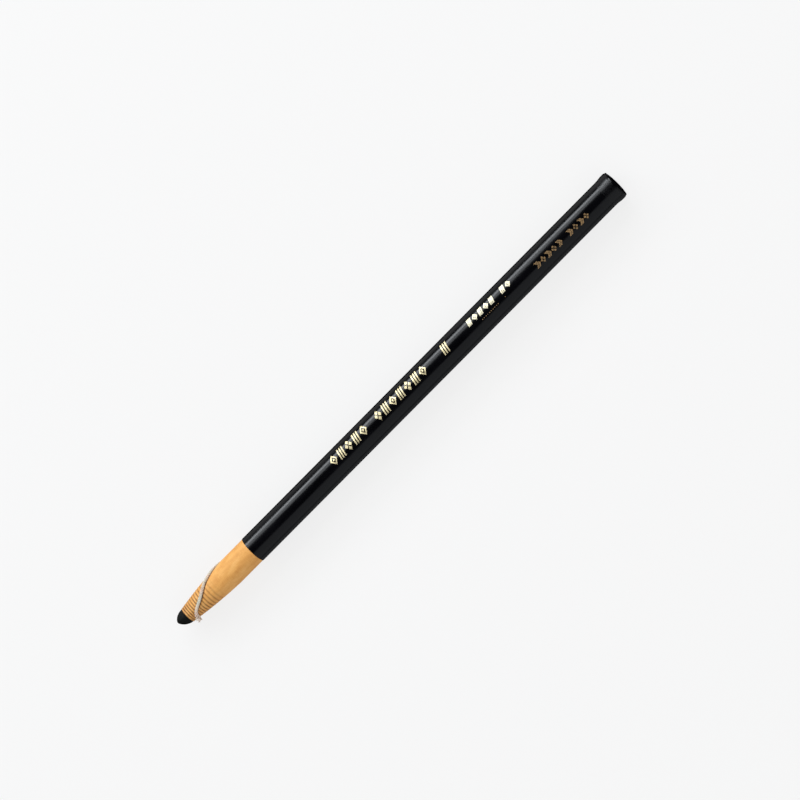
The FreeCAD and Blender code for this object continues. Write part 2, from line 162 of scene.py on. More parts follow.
class Nodes:
    """A material's nodes, made and linked by short calls."""

    def __init__(self, name):
        self.material = bpy.data.materials.new(name)
        self.material.use_nodes = True
        self.tree = self.material.node_tree
        self.shader = self.tree.nodes["Principled BSDF"]

    def add(self, kind, **settings):
        node = self.tree.nodes.new("ShaderNode" + kind)
        for key, value in settings.items():
            setattr(node, key, value)
        return node

    def link(self, out, into):
        self.tree.links.new(out, into)

    def put(self, node, **values):
        """Sets a node's input sockets, by name with _ for a space, to values or links."""
        for key, value in values.items():
            socket = node.inputs[key.replace("_", " ")]
            if isinstance(value, bpy.types.NodeSocket):
                self.link(value, socket)
            else:
                socket.default_value = value
        return node

    def position(self, stretch=(1, 1, 1)):
        """The point on the object in mm, scaled along each axis."""
        where = self.add("TexCoord")
        mapping = self.add("Mapping")
        self.link(where.outputs["Object"], mapping.inputs["Vector"])
        mapping.inputs["Scale"].default_value = [s / MM for s in stretch]
        return mapping.outputs["Vector"]

    def noise(self, stretch, scale=1.0, detail=4.0, roughness=0.55):
        texture = self.add("TexNoise")
        self.put(texture, Vector=self.position(stretch), Scale=scale, Detail=detail)
        self.put(texture, Roughness=roughness)
        return texture.outputs["Fac"]

    def ramp(self, factor, *stops):
        """A colour ramp from (place, colour) stops."""
        ramp = self.add("ValToRGB")
        self.link(factor, ramp.inputs["Fac"])
        points = ramp.color_ramp.elements
        while len(points) < len(stops):
            points.new(0.5)
        for point, (where, colour) in zip(points, stops):
            point.position = where
            point.color = (*colour, 1)
        return ramp.outputs["Color"]

    def grade(self, factor, low, high, start=0.0, end=1.0):
        """factor from start..end, brought to low..high."""
        graded = self.add("MapRange")
        self.put(graded, Value=factor, From_Min=start, From_Max=end, To_Min=low, To_Max=high)
        return graded.outputs["Result"]

    def mix(self, factor, one, other):
        mixed = self.add("Mix", data_type="RGBA")
        for socket, value in ((0, factor), (6, one), (7, other)):
            if isinstance(value, bpy.types.NodeSocket):
                self.link(value, mixed.inputs[socket])
            elif socket == 0:
                mixed.inputs[socket].default_value = value
            else:
                mixed.inputs[socket].default_value = (*value, 1)
        return mixed.outputs[2]

    def math(self, operation, one, other=0.0):
        node = self.add("Math", operation=operation)
        for number, value in enumerate((one, other)):
            if isinstance(value, bpy.types.NodeSocket):
                self.link(value, node.inputs[number])
            else:
                node.inputs[number].default_value = value
        return node.outputs[0]

    def bump(self, height, depth_mm, below=None):
        node = self.add("Bump")
        self.put(node, Strength=1.0, Distance=depth_mm * MM, Height=height)
        if below is not None:
            self.link(below, node.inputs["Normal"])
        return node.outputs["Normal"]

    def attribute(self, name):
        return self.add("Attribute", attribute_name=name).outputs["Fac"]


# ---------------------------------------------------------------- materials


def charcoal_material():
    """Pressed charcoal: matt near-black, with open grain and a few grey glints."""
    n = Nodes("charcoal")
    grain = n.noise((1, 1, 1), scale=5.5, detail=8, roughness=0.7)
    pores = n.noise((1, 1, 1), scale=1.6, detail=3)
    tone = n.ramp(grain, (0.30, (0.0008, 0.0012, 0.0010)), (0.60, (0.0035, 0.0046, 0.0038)),
                  (0.76, (0.020, 0.023, 0.021)))
    n.put(n.shader, Base_Color=tone, Roughness=n.grade(grain, 0.82, 0.55, 0.3, 0.75))
    n.shader.inputs["Specular IOR Level"].default_value = 0.2
    rough = n.bump(grain, 0.055)
    n.put(n.shader, Normal=n.bump(pores, 0.09, rough))
    return n.material


KRAFT = (0.650, 0.318, 0.080)
KRAFT_PALE = (0.735, 0.408, 0.132)
KRAFT_DARK = (0.550, 0.240, 0.054)
# Dark brown: the colour of flecks and of the spiral's joint lines, and also of the painted shade
# between plies and the painted shadow beside the string.
DARK_BROWN_AND_PAINTED_SHADE = (0.110, 0.029, 0.005)


def kraft_tone(n):
    """Tan paper with flecks and fibres that run round the roll."""
    cloud = n.noise((0.22, 0.6, 0.6), scale=1.0, detail=3)
    fibre = n.noise((6.5, 0.9, 0.9), scale=1.0, detail=6, roughness=0.65)
    fleck = n.noise((2.4, 2.4, 2.4), scale=1.6, detail=2)
    tone = n.ramp(cloud, (0.30, KRAFT_DARK), (0.50, KRAFT), (0.72, KRAFT_PALE))
    tone = n.mix(0.35, tone, n.ramp(fibre, (0.32, KRAFT_DARK), (0.66, KRAFT_PALE)))
    dark = n.grade(fleck, 0.0, 0.30, 0.66, 0.76)
    return n.mix(dark, tone, DARK_BROWN_AND_PAINTED_SHADE), fibre


def kraft_front_material():
    """The turned cone: tan paper, darker between plies with charcoal dust and painted shade, with a
    painted shadow beside the string, and sooty near the charcoal.
    """
    n = Nodes("kraft_cone")
    tone, fibre = kraft_tone(n)
    patchy = n.noise((0.25, 0.55, 0.55), scale=1.0, detail=4, roughness=0.6)
    # The darkness between plies: partly charcoal dust, partly painted shade in the recess under
    # each ply's edge.
    gap_painted_shade_and_dust = n.math("MULTIPLY", n.attribute("ply_gap_painted_shade_and_dust"), n.grade(patchy, 0.62, 1.0, 0.36, 0.52))
    tone = n.mix(n.grade(gap_painted_shade_and_dust, 0.0, 0.97, 0.0, 0.9), tone, DARK_BROWN_AND_PAINTED_SHADE)
    # A painted shadow beside the string, in dark brown.
    tone = n.mix(n.grade(n.attribute("painted_string_shadow"), 0.0, 0.85, 0.0, 0.6), tone, DARK_BROWN_AND_PAINTED_SHADE)
    smudge = n.noise((0.9, 1.6, 1.6), scale=1.0, detail=5, roughness=0.7)
    soot = n.math("MULTIPLY", n.attribute("soot"), n.grade(smudge, 0.0, 0.5, 0.40, 0.70))
    tone = n.mix(soot, tone, (0.045, 0.036, 0.030))
    n.put(n.shader, Base_Color=tone, Roughness=n.grade(fibre, 0.58, 0.74, 0.3, 0.7))
    n.shader.inputs["Specular IOR Level"].default_value = 0.32
    n.put(n.shader, Normal=n.bump(fibre, 0.012))
    return n.material


def rolled_kraft_material():
    """Rolled paper: its end faces show one long spiral of plies."""
    n = Nodes("kraft_roll")
    tone, fibre = kraft_tone(n)
    place_mm = n.add("SeparateXYZ")
    n.link(n.position(), place_mm.inputs[0])
    across = place_mm.outputs["Y"]
    up = n.math("SUBTRACT", place_mm.outputs["Z"], AXIS_Z / MM)
    away = n.math("SQRT", n.math("ADD", n.math("POWER", across, 2), n.math("POWER", up, 2)))
    turn = n.math("DIVIDE", n.math("ARCTAN2", across, up), 2 * math.pi)
    layer = n.math("FRACT", n.math("SUBTRACT", n.math("DIVIDE", away, PLY * 1.6), turn))
    line = n.grade(n.math("ABSOLUTE", n.math("SUBTRACT", layer, 0.5)), 0.0, 0.75, 0.30, 0.5)
    facing = n.add("SeparateXYZ")
    n.link(n.add("NewGeometry").outputs["True Normal"], facing.inputs[0])
    on_end = n.grade(n.math("ABSOLUTE", facing.outputs["X"]), 0.0, 1.0, 0.7, 0.9)
    n.put(n.shader, Base_Color=n.mix(n.math("MULTIPLY", line, on_end), tone, DARK_BROWN_AND_PAINTED_SHADE))
    n.put(n.shader, Roughness=n.grade(fibre, 0.62, 0.8, 0.3, 0.7), Normal=n.bump(fibre, 0.012))
    n.shader.inputs["Specular IOR Level"].default_value = 0.3
    return n.material


def cover_material():
    """Black coated paper: satin, with drawn-out streaks, handling marks and dust."""
    n = Nodes("cover_black")
    streak = n.noise((0.10, 3.2, 3.2), scale=1.0, detail=5, roughness=0.6)
    patch = n.noise((0.07, 0.35, 0.35), scale=1.0, detail=3)
    weave = n.noise((3.0, 3.0, 3.0), scale=1.0, detail=4)
    dust = n.noise((4.0, 4.0, 4.0), scale=2.2, detail=1)
    tone = n.ramp(patch, (0.3, (0.0008, 0.0008, 0.0012)), (0.7, (0.0016, 0.0016, 0.0024)))
    specks = n.grade(dust, 0.0, 0.20, 0.745, 0.80)
    n.put(n.shader, Base_Color=n.mix(specks, tone, (0.07, 0.07, 0.08)))
    worn = n.math("ADD", n.grade(streak, -0.02, 0.03, 0.3, 0.7),
                  n.grade(patch, 0.17, 0.22, 0.36, 0.64))
    n.put(n.shader, Roughness=worn)
    n.shader.inputs["IOR"].default_value = 1.46
    paper = n.bump(weave, 0.0035)
    n.put(n.shader, Normal=n.bump(streak, 0.004, paper))
    return n.material


def cut_edge_material():
    """The cover's cut edge: the pale paper under its black coating."""
    n = Nodes("cover_cut_edge")
    fray = n.noise((9, 9, 9), scale=1.0, detail=4)
    n.put(n.shader, Base_Color=n.ramp(fray, (0.35, (0.16, 0.11, 0.07)), (0.6, (0.62, 0.47, 0.30))))
    n.shader.inputs["Roughness"].default_value = 0.8
    return n.material


def lacquer_material():
    """The dip: glossy black lacquer, faintly orange-peeled, rubbed on its rim."""
    n = Nodes("lacquer")
    peel = n.noise((1.2, 1.2, 1.2), scale=1.0, detail=2)
    rub = n.noise((2.6, 2.6, 2.6), scale=1.0, detail=6, roughness=0.7)
    tone = n.ramp(rub, (0.35, (0.0008, 0.0008, 0.0012)), (0.75, (0.004, 0.004, 0.005)))
    n.put(n.shader, Base_Color=tone, Roughness=n.grade(rub, 0.20, 0.40, 0.35, 0.72))
    n.shader.inputs["IOR"].default_value = 1.48
    n.put(n.shader, Normal=n.bump(peel, 0.012))
    return n.material


def foil_material(name, gold, worn_from):
    """Stamped foil, with the black of the cover where it has rubbed off."""
    n = Nodes(name)
    wear = n.noise((2.2, 2.2, 2.2), scale=2.0, detail=5, roughness=0.7)
    shade = n.noise((0.8, 0.8, 0.8), scale=1.0, detail=2)
    gone = n.grade(wear, 0.0, 1.0, worn_from, worn_from + 0.05)
    deep = tuple(c * 0.62 for c in gold)
    tone = n.ramp(shade, (0.3, deep), (0.6, gold))
    n.put(n.shader, Base_Color=n.mix(gone, tone, (0.006, 0.006, 0.008)))
    n.put(n.shader, Metallic=n.grade(gone, 0.72, 0.0), Roughness=n.grade(shade, 0.52, 0.40))
    n.put(n.shader, Normal=n.bump(wear, 0.006))
    return n.material


def string_material():
    """Soft spun cotton, off-white with faint tints, greyed by charcoal."""
    n = Nodes("string")
    tint = n.noise((0.5, 0.5, 0.5), scale=1.0, detail=2)
    dirt = n.noise((2.5, 2.5, 2.5), scale=1.0, detail=5)
    tone = n.ramp(tint, (0.36, (0.53, 0.54, 0.45)), (0.5, (0.62, 0.54, 0.43)),
                  (0.64, (0.62, 0.47, 0.38)))
    n.put(n.shader, Base_Color=n.mix(n.grade(dirt, 0.0, 0.5, 0.5, 0.78), tone, (0.24, 0.22, 0.2)))
    n.shader.inputs["Roughness"].default_value = 0.92
    n.shader.inputs["Sheen Weight"].default_value = 0.3
    n.shader.inputs["Specular IOR Level"].default_value = 0.15
    n.put(n.shader, Normal=n.bump(dirt, 0.02))
    return n.material


# ---------------------------------------------------------------- mesh helpers


SHARP = 38


def to_object(name, points, faces, materials, body):
    mesh = bpy.data.meshes.new(name)
    mesh.from_pydata([tuple(p) for p in points], [], faces)
    mesh.update()
    mesh.shade_smooth()
    mesh.set_sharp_from_angle(angle=math.radians(SHARP))
    piece = bpy.data.objects.new(name, mesh)
    for material in materials:
        mesh.materials.append(material)
    bpy.context.scene.collection.objects.link(piece)
    if body:
        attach(piece, body)
    return piece


def lathe_points(rows, columns, shape):
    """Points of rows x columns. shape(row, turn) gives (x, radius) in mm."""
    points = []
    for row in range(rows):
        for column in range(columns):
            turn = 2 * math.pi * column / columns
            points.append(place(*shape(row, turn), turn))
    return points


def lathe_faces(rows, columns, closed):
    """Quads between rows that go round; closed joins the last row to the first."""
    faces = []
    for row in range(rows if closed else rows - 1):
        one, next_one = row * columns, (row + 1) % rows * columns
        for column in range(columns):
            after = (column + 1) % columns
            faces.append((one + column, one + after, next_one + after, next_one + column))
    return faces


def capped(points, faces, rows, columns, start=True, end=True):
    """Adds a fan at the first and the last row, to a point on the axis."""
    for wanted, row, forwards in ((start, 0, False), (end, rows - 1, True)):
        if not wanted:
            continue
        ring = [row * columns + c for c in range(columns)]
        centre = sum((points[i] for i in ring), Vector()) / columns
        points.append(centre)
        hub = len(points) - 1
        for c in range(columns):
            a, b = ring[c], ring[(c + 1) % columns]
            faces.append((a, b, hub) if forwards else (b, a, hub))
    return points, faces


def ripple(x, turn, scale, seed):
    """Smooth noise from -1 to 1 on the pencil's surface, with features about scale mm."""
    where = Vector((x, 4 * math.sin(turn), 4 * math.cos(turn))) / scale
    return noise.noise(where + Vector((seed * 17.3, seed * 5.1, seed * 9.7)))


# ---------------------------------------------------------------- charcoal


def core_radius(x):
    """The blunt nose: an arc on the axis, a shoulder arc tangent to it, then straight."""
    shoulder = ((CORE_REACH - NOSE_R) ** 2 + CORE_R**2 - NOSE_R**2) / (2 * (CORE_R - NOSE_R))
    meet = math.atan2(shoulder - CORE_R, CORE_REACH - NOSE_R)
    if x >= CORE_REACH:
        return CORE_R
    if x < NOSE_R - NOSE_R * math.cos(meet):
        return math.sqrt(max(0.0, NOSE_R**2 - (NOSE_R - x) ** 2))
    return CORE_R - shoulder + math.sqrt(shoulder**2 - (CORE_REACH - x) ** 2)


NOSE_ROWS = 70
STICK_STEP = 1.5  # mm between rows behind the nose
POINT_DRIFT = 0.42  # mm that the point leans to +Y


def make_charcoal():
    """The stick, with its drawn-on point worn more on one side, and grain in its skin."""
    columns = 160
    rows_at = [CORE_REACH * (k / NOSE_ROWS) ** 1.7 for k in range(1, NOSE_ROWS + 1)]
    stick_rows = int((ROLL_END - CORE_REACH) / STICK_STEP)
    rows_at += [CORE_REACH + k * STICK_STEP for k in range(1, stick_rows)]
    rows_at.append(ROLL_END)

    def shape(row, turn):
        x = rows_at[row]
        radius = core_radius(x)
        bare = max(0.0, 1 - x / CORE_REACH)
        if x < CORE_REACH + 0.2:
            worn = ripple(x, turn, 1.7, 1) * 0.07 * bare
            grain = ripple(x, turn, 0.28, 2) * 0.022 + ripple(x, turn, 0.13, 3) * 0.012
            radius += (worn + grain) * min(1.0, radius / 0.8)
        else:
            radius -= 0.012 * (1 + ripple(x, turn, 0.9, 4))
        return x, min(radius, CORE_R + 0.02)

    points = lathe_points(len(rows_at), columns, shape)
    faces = lathe_faces(len(rows_at), columns, closed=False)
    points, faces = capped(points, faces, len(rows_at), columns)
    for point in points:
        bare = max(0.0, 1 - (point.x - TIP) / MM / CORE_REACH)
        point.y += POINT_DRIFT * bare**1.5 * MM
    piece = to_object("charcoal", points, faces, [charcoal_material()], "root")
    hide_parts("charcoal_core")


# ---------------------------------------------------------------- string's route

# The free end: mm on from its start, degrees round from its start, and mm that its middle
# stands above the cone.
FREE_END = (
    (-1.3, -5.0, 0.02),
    (-2.7, -13.0, 0.14),
    (-4.2, -23.0, 0.22),
    (-5.7, -33.0, 0.26),
    (-7.1, -42.0, 0.28),
    (-8.3, -53.0, 0.30),
    (-9.5, -65.0, 0.30),
    (-10.7, -77.0, 0.30),
    (-12.0, -88.0, 0.30),
    (-13.2, -97.0, 0.32),
    (-14.3, -106.0, 0.36),
    (-15.1, -117.0, 0.45),
    (-15.7, -132.0, 0.62),
    (-16.3, -159.0, 1.25),
)
HIDDEN_START = 4.0  # mm of string modelled inside the paper behind the exit


def cone_radius(x):
    if x >= CONE_REACH:
        return ROLL_R
    share = (x - CORE_REACH) / (CONE_REACH - CORE_REACH)
    return CONE_EDGE_R + (ROLL_R - CONE_EDGE_R) * share + 4 * CONE_BULGE * share * (1 - share)


def free_end_route():
    angle = math.radians(STRING_ANGLE)
    route = [place(STRING_EXIT + HIDDEN_START, STRING_DEPTH, angle)]
    route.append(place(STRING_EXIT, STRING_DEPTH, angle))
    for forward, turn, lift in FREE_END:
        x = STRING_EXIT + forward
        route.append(place(x, cone_radius(x) + lift, angle + math.radians(turn)))
    return route


def smooth_line(route, resolution=24):
    """Points along a NURBS spline whose control points are the route's."""
    curve = bpy.data.curves.new("route", "CURVE")
    curve.dimensions = "3D"
    curve.resolution_u = resolution
    spline = curve.splines.new("NURBS")
    spline.points.add(len(route) - 1)
    for point, where in zip(spline.points, route):
        point.co = (*where, 1)
    spline.order_u = 3
    spline.use_endpoint_u = True
    holder = bpy.data.objects.new("route", curve)
    bpy.context.scene.collection.objects.link(holder)
    bpy.context.view_layer.update()
    shaped = holder.evaluated_get(bpy.context.evaluated_depsgraph_get())
    mesh = bpy.data.meshes.new_from_object(shaped)
    line = [v.co.copy() for v in mesh.vertices]
    bpy.data.meshes.remove(mesh)
    bpy.data.objects.remove(holder)
    bpy.data.curves.remove(curve)
    return line


def evenly(line, step):
    """The same line with points a constant step apart."""
    lengths = [0.0]
    for a, b in zip(line, line[1:]):
        lengths.append(lengths[-1] + (b - a).length)
    count = max(2, int(lengths[-1] / step))
    xyz = np.array([tuple(p) for p in line])
    at = np.linspace(0, lengths[-1], count + 1)
    return [Vector(p) for p in np.stack([np.interp(at, lengths, xyz[:, k]) for k in range(3)], 1)]


# ---------------------------------------------------------------- front ribbon

# Each ply's rows: how far along the ply each one is, and how dark the paper between plies is there,
# a darkness that is partly charcoal dust and partly painted shade under each ply's edge.
PLY_ROWS = (0.0, 0.06, 0.12, 0.24, 0.42, 0.66, 0.90)
PLY_GAP_PAINTED_SHADE_AND_DUST = (1.0, 1.0, 0.75, 0.20, 0.0, 0.10, 0.85)
STEPS_END = 16.5  # mm from the tip where the plies' steps are worn away
STEPS_FADE = 5.5  # mm over which they fade to there
BAND_ROWS = 14
SOOT_REACH = 5.5  # mm that charcoal dust has spread over the paper
# Where the painted shadow beside the string is darkest, and how far it reaches each way.
STRING_SHADOW_AWAY, STRING_SHADOW_WIDTH = 0.50, 0.30  # mm from the string's middle line
BED_WIDTH, BED_DEPTH = 0.62, 0.10  # mm, of the hollow that the string lies in


def ply_edges():
    """Where the cone cuts through each ply, from the charcoal back: x in mm."""
    edges, x = [CORE_REACH], CORE_REACH
    for number in range(1, int((ROLL_R - CONE_EDGE_R) / PLY)):
        while cone_radius(x) < CONE_EDGE_R + PLY * number:
            x += 0.01
        edges.append(x)
    return edges + [CONE_REACH]


def front_rows(plies):
    """The front ribbon's rows, along its bore, over its lip and back along its outside."""
    rows = [("bore", x) for x in (FRONT_REACH, FRONT_REACH / 2, CORE_REACH)]
    rows.append(("lip", CORE_REACH))
    for number in range(plies):
        rows += [("ply", number, level) for level in range(len(PLY_ROWS))]
    band = FRONT_REACH - CONE_REACH
    rows += [("band", CONE_REACH + band * k / BAND_ROWS) for k in range(BAND_ROWS + 1)]
    return rows


def steps_left(x):
    """How much of a step is left: whole near the charcoal, none at the cone's back."""
    return max(0.0, min(1.0, (STEPS_END - x) / STEPS_FADE))


def make_front_ribbon(string_line):
    """The cone with each ply's edge as a small step, and the bare band behind it."""
    columns = 288
    chance = random.Random(11)
    edges = ply_edges()
    seeds = [chance.uniform(0, 50) for _ in edges]
    deep = [chance.uniform(0.7, 1.0) for _ in edges]

    def edge_at(number, turn):
        seed = seeds[number]
        wander = 0.075 * ripple(0, turn, 2.2, seed) + 0.03 * ripple(0, turn, 0.7, seed)
        return edges[number] + (wander if number else 0.0)

    rows = front_rows(len(edges) - 1)

    def shape(row, turn):
        kind = rows[row]
        if kind[0] == "bore":
            return kind[1], CORE_R + 0.03
        if kind[0] == "lip":
            return kind[1], CORE_R + 0.055
        if kind[0] == "band":
            x = kind[1]
            return x, ROLL_R - 0.02 - 0.008 * ripple(x, turn, 3.0, 5)
        _, number, level = kind
        here, beyond = edge_at(number, turn), edge_at(number + 1, turn)
        x = here + (beyond - here) * PLY_ROWS[level]
        true = cone_radius(x)
        flat = cone_radius(here + (beyond - here) * 0.5)
        amount = steps_left(x)
        radius = true + (flat - true) * amount * 0.9
        if level == 0:
            radius = true - 0.045 * deep[number] * amount - 0.01
        if level == 1:
            radius = true + (flat - true) * amount * 0.35
        if level == 2:
            radius += 0.012 * amount
        radius += 0.010 * ripple(x, turn, 1.1, 6 + number * 0.37) * amount
        return x, min(radius, ROLL_R - 0.004) - 0.012

    points = lathe_points(len(rows), columns, shape)
    bed = np.array([tuple(p) for p in string_line if p.x < PIVOT.x])
    gap_painted_shade_and_dust_values, soots, painted_string_shadow_values = [], [], []
    for number, point in enumerate(points):
        kind = rows[number // columns]
        x = (point.x - TIP) / MM
        visible = kind[0] in ("ply", "band")
        near = np.linalg.norm(bed - np.array(point), axis=1) if visible else np.array([1.0])
        nearest = int(near.argmin())
        away = near[nearest] / MM
        # A painted shadow beside the string: full on its -Y side, away from the key light, and on
        # both sides from 5 mm in front of its exit on back; about a third as dark on its +Y side
        # elsewhere.
        below = point.y < bed[nearest][1] or x > STRING_EXIT - 5
        painted_string_shadow = max(0.0, 1 - abs(away - STRING_SHADOW_AWAY) / STRING_SHADOW_WIDTH)
        painted_string_shadow_values.append(painted_string_shadow * (1.0 if below else 0.35))
        if visible and x < STRING_EXIT - 0.6:
            settle_under_string(point, away)
        # How dark the paper between plies is here: partly charcoal dust, partly painted shade under
        # each ply's edge.
        gap_painted_shade_and_dust = 0.0
        if kind[0] == "ply":
            gap_painted_shade_and_dust = PLY_GAP_PAINTED_SHADE_AND_DUST[kind[2]] * steps_left(x) * deep[kind[1]]
        gap_painted_shade_and_dust_values.append(gap_painted_shade_and_dust)
        bare = max(0.0, 1 - max(0.0, x - CORE_REACH) / SOOT_REACH)
        soots.append(bare**2.2 if visible else 0.3)
    faces = lathe_faces(len(rows), columns, closed=True)
    material = kraft_front_material()
    piece = to_object("kraft_front_paper", points, faces, [material], "front_ribbon")
    for name, values in (("ply_gap_painted_shade_and_dust", gap_painted_shade_and_dust_values), ("soot", soots), ("painted_string_shadow", painted_string_shadow_values)):
        piece.data.attributes.new(name, "FLOAT", "POINT").data.foreach_set("value", values)
    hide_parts("kraft_front")


def settle_under_string(point, away):
    """Pushes a point of the cone in, so that the string lies in a shallow bed."""
    if away > BED_WIDTH:
        return
    axis_point = Vector((point.x, 0, AXIS_Z))
    inward = (axis_point - point).normalized()
    share = 1 - away / BED_WIDTH
    push = BED_DEPTH * share * share * (3 - 2 * share)
    point += inward * push * MM


# ---------------------------------------------------------------- rolled ribbons


def dress_rolls():
    """The covered rolls keep their CAD shape: only their end faces ever show."""
    material = rolled_kraft_material()
    for name, node in frame["nodes"].items():
        if name.startswith("kraft_") and name != "kraft_front":
            node.data.materials.clear()
            node.data.materials.append(material)


SEAM_TURN = math.radians(205)  # where the cover paper's long edges lap
CLOSE_UP = 0.046  # mm that a cover runs on over the perforation behind it


def make_cover(node, body, materials):
    """One ribbon of the black cover: a thin shell, very slightly uneven, with a lap seam.

    The first one's front edge shows, so it is a little ragged and its cut paper is pale.
    """
    ragged = node == "cover_ribbon_1"
    start, end = ends(node)
    end = end + CLOSE_UP if body != "root" else end
    columns = 192
    steps = max(4, int((end - start) / 0.8))
    surface = [start + (end - start) * k / steps for k in range(steps + 1)]
    table = [("in", start)] + [("out", x) for x in surface] + [("in", end)]

    def shape(row, turn):
        kind, x = table[row]
        if ragged and x < start + 0.01:
            x += 0.02 * abs(ripple(0, turn, 2, 9))
        if kind == "in":
            return x, ROLL_R + 0.002
        lap = (turn - SEAM_TURN) / math.radians(3)
        seam = 0.05 * math.exp(-max(0.0, lap) * 0.35) if 0 <= lap < 30 else 0.0
        uneven = 0.006 * ripple(x, turn, 9, 12) + 0.003 * ripple(x, turn, 2.5, 13)
        return x, BARREL_R - 0.006 + uneven + seam * 0.25

    points = lathe_points(len(table), columns, shape)
    faces = lathe_faces(len(table), columns, closed=True)
    piece = to_object(node + "_paper", points, faces, materials, body)
    for face in piece.data.polygons:
        if ragged and face.index // columns == 0:
            face.material_index = 1
    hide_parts(node)


def make_covers():
    materials = [cover_material(), cut_edge_material()]
    for number in range(1, RIBBONS + 1):
        make_cover(f"cover_ribbon_{number}", f"ribbon_{number}", materials)
    make_cover("cover_stub", "root", materials)


# ---------------------------------------------------------------- lacquer dip


DOME = 0.32  # mm that the dip's end stands out in its middle
RIM = 0.9
# The dip's swell: mm behind its front edge, and mm above the barrel.
SWELL = (
    (0.0, -0.005),
    (0.3, 0.004),
    (0.6, 0.012),
    (0.9, 0.03),
    (1.2, 0.06),
    (1.5, 0.10),
    (1.8, 0.145),
    (2.1, 0.18),
    (2.4, 0.20),
    (2.8, 0.21),
    (3.1, 0.208),
)


def dome_drop(radius):
    return DOME * (radius / DIP_R) ** 2


def make_dip():
    """Lacquer over the back end: a wavy thin front edge, a swell, a rounded rim and a dome."""
    table = [("seat", ROLL_END), ("bore", ROLL_END), ("bore", DIP_START + 0.1)]
    table += [("skin", DIP_START + along, BARREL_R + rise) for along, rise in SWELL]
    for k in range(9):
        turn = math.pi / 2 * k / 8
        radius = DIP_R - RIM + RIM * math.cos(turn)
        table.append(("skin", LENGTH - RIM + RIM * math.sin(turn) - dome_drop(radius), radius))
    table += [("face", radius) for radius in (3.3, 2.7, 2.0, 1.3, 0.7, 0.3)]
    columns = 192

    def shape(row, turn):
        kind = table[row]
        if kind[0] == "seat":
            return kind[1], 0.4
        if kind[0] == "bore":
            return kind[1], BARREL_R - 0.01
        if kind[0] == "face":
            drop = dome_drop(kind[1]) + 0.012 * ripple(kind[1], turn, 1.5, 21)
            return LENGTH - max(0.0, drop), kind[1]
        _, x, radius = kind
        near_front = max(0.0, 1 - (x - DIP_START) / 1.6)
        x += 0.25 * ripple(0, turn, 3.5, 22) * near_front * (near_front < 1)
        if x < LENGTH - RIM - DOME:
            radius += 0.012 * ripple(x, turn, 2.6, 23) * (1 - near_front)
        return x, min(radius, DIP_R)

    points = lathe_points(len(table), columns, shape)
    faces = lathe_faces(len(table), columns, closed=False)
    points, faces = capped(points, faces, len(table), columns)
    piece = to_object("lacquer_dip", points, faces, [lacquer_material()], "root")
    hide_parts("end_dip")


# ---------------------------------------------------------------- gold foil

LINE = 0.42  # mm, the width of a drawn stroke
MARGIN = 0.5  # mm that a mark stays from a ribbon's edge
SLASH_WIDTH = 0.9
FOIL_RISE = 0.02
FOIL_SINK = 0.02  # mm that a mark reaches into the cover
STRIP = 0.3  # mm, the widest that a flat strip of a mark may be round the barrel


def lozenge(width, height, u=0.0, v=0.0):
    return [(u - width / 2, v), (u, v - height / 2), (u + width / 2, v), (u, v + height / 2)]


def ring_of(outer, inner):
    """The four sides between two lozenges."""
    return [[outer[k], outer[(k + 1) % 4], inner[(k + 1) % 4], inner[k]] for k in range(4)]


def slash(width, height, u=0.0, stroke=LINE):
    lean = width / 2 - stroke / 2
    low = [(u - lean - stroke / 2, -height / 2), (u - lean + stroke / 2, -height / 2)]
    return low + [(u + lean + stroke / 2, height / 2), (u + lean - stroke / 2, height / 2)]


def hatch(width, height):
    """Three slanted strokes."""
    step = (width - SLASH_WIDTH) / 2
    return [slash(SLASH_WIDTH, height, u) for u in (-step, 0, step)]


def framed_gem(width, height):
    """An open lozenge round a small filled one."""
    inner = lozenge(width - 2.4 * LINE, height - 3.0 * LINE)
    return ring_of(lozenge(width, height), inner) + [lozenge(width * 0.26, height * 0.26)]


def petals(width, height):
    """Four small lozenges about a centre."""
    side, rise = width * 0.28, height * 0.30
    places = ((-side, 0), (side, 0), (0, rise), (0, -rise))
    return [lozenge(width * 0.44, height * 0.40, u, v) for u, v in places]


def chevrons(width, height):
    """Two nested arrowheads that point along the pencil."""
    half, deep, stroke = height / 2, width * 0.45, LINE * 1.25
    made = []
    for u in (-width / 2, -width / 2 + width * 0.36):
        made.append([(u, half), (u + deep, 0), (u + deep + stroke, 0), (u + stroke, half)])
        made.append([(u + deep, 0), (u, -half), (u + stroke, -half), (u + deep + stroke, 0)])
    return made


def dot(width, height):
    side = min(width, height) * 0.5
    return [lozenge(side, side)]


# Marks in turn, front end, back end, height, degrees round, pitch, width, and the foil.
BANDS = (
    ((framed_gem, hatch, petals, hatch), 64.5, 113.0, 3.3, 22.0, 3.0, 2.5, 0),
    ((hatch, framed_gem), 120.0, 138.3, 2.1, 25.0, 2.2, 1.9, 1),
    ((dot,), 124.1, 134.3, 0.7, -4.0, 0.7, 0.7, 2),
    ((chevrons, petals), 145.4, 167.7, 1.9, -6.0, 2.15, 1.75, 2),
)


def laid_on_barrel(u, v, turn, lift):
    """A flat mark's point on the barrel, as if pressed straight down on it."""
    radius = BARREL_R + lift
    return place(u, radius, turn + math.asin(max(-1, min(1, v / radius))))


def foil_piece(piece_name, node, body, start, end, foils):
    shape = bmesh.new()
    for marks, front, back, height, degrees, pitch, width, foil in BANDS:
        for number in range(int((back - front) / pitch)):
            u = front + (number + 0.5) * pitch
            if not start + MARGIN < u - width / 2 or not u + width / 2 < end - MARGIN:
                continue
            for outline in marks[number % len(marks)](width, height):
                add_mark(shape, outline, u, math.radians(degrees), foil)
    mesh = bpy.data.meshes.new(piece_name)
    shape.normal_update()
    shape.to_mesh(mesh)
    shape.free()
    piece = bpy.data.objects.new(piece_name, mesh)
    for material in foils:
        mesh.materials.append(material)
    bpy.context.scene.collection.objects.link(piece)
    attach(piece, body)
    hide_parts(node)


